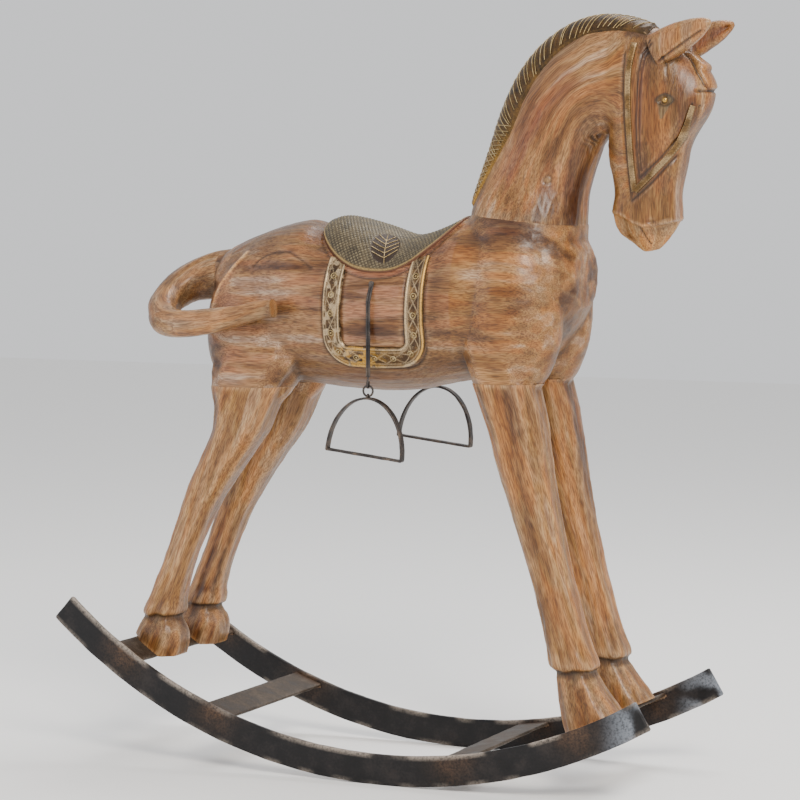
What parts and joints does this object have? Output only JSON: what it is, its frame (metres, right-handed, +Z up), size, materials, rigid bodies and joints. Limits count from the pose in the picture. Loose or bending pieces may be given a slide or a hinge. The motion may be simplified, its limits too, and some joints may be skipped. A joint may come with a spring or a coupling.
{
  "type": "wooden rocking horse",
  "caption": "Carved wooden rocking horse with brass-clad mane, saddle and bridle, hanging stirrups and curved iron runners.",
  "frame": {"origin": "on the floor, under the middle of the bounding box", "axes": "+X towards the horse's chest and head, +Y towards its left side, +Z up"},
  "size_m": [0.8149, 0.257, 0.8984],
  "materials": {
    "carved_wood": "brown stain with grey wash, satin varnish",
    "aged_brass": "embossed sheet, aged brown with bright high spots",
    "saddle_cladding": "cross-hatched sheet, olive-grey patina",
    "eye_brass": "rubbed tack head",
    "dark_iron": "dark rusty wrought strip and wire",
    "black_iron": "worn black paint with beige rubbed edges"
  },
  "bodies": {
    "root": {"torso": "carved_wood", "neck_and_head": "carved_wood", "tail": "carved_wood", "front_leg_right": "carved_wood", "front_leg_left": "carved_wood", "hind_leg_right": "carved_wood", "hind_leg_left": "carved_wood", "mane": "aged_brass", "saddle_seat": "saddle_cladding", "blanket_border_right": "aged_brass", "blanket_border_left": "aged_brass", "bridle_right": "aged_brass", "bridle_left": "aged_brass", "eye_tack_right": "eye_brass", "eye_tack_left": "eye_brass", "stirrup_strap_right": "dark_iron", "stirrup_strap_left": "dark_iron", "stirrup_hook_right": "dark_iron", "stirrup_hook_left": "dark_iron", "stirrup_ring_right": "dark_iron", "stirrup_ring_left": "dark_iron", "stirrup_right": "dark_iron", "stirrup_left": "dark_iron", "runner_right": "black_iron", "runner_left": "black_iron", "crossbar_rear": "black_iron", "crossbar_rear_middle": "black_iron", "crossbar_front_middle": "black_iron", "crossbar_front": "black_iron"}
  },
  "joints": []
}
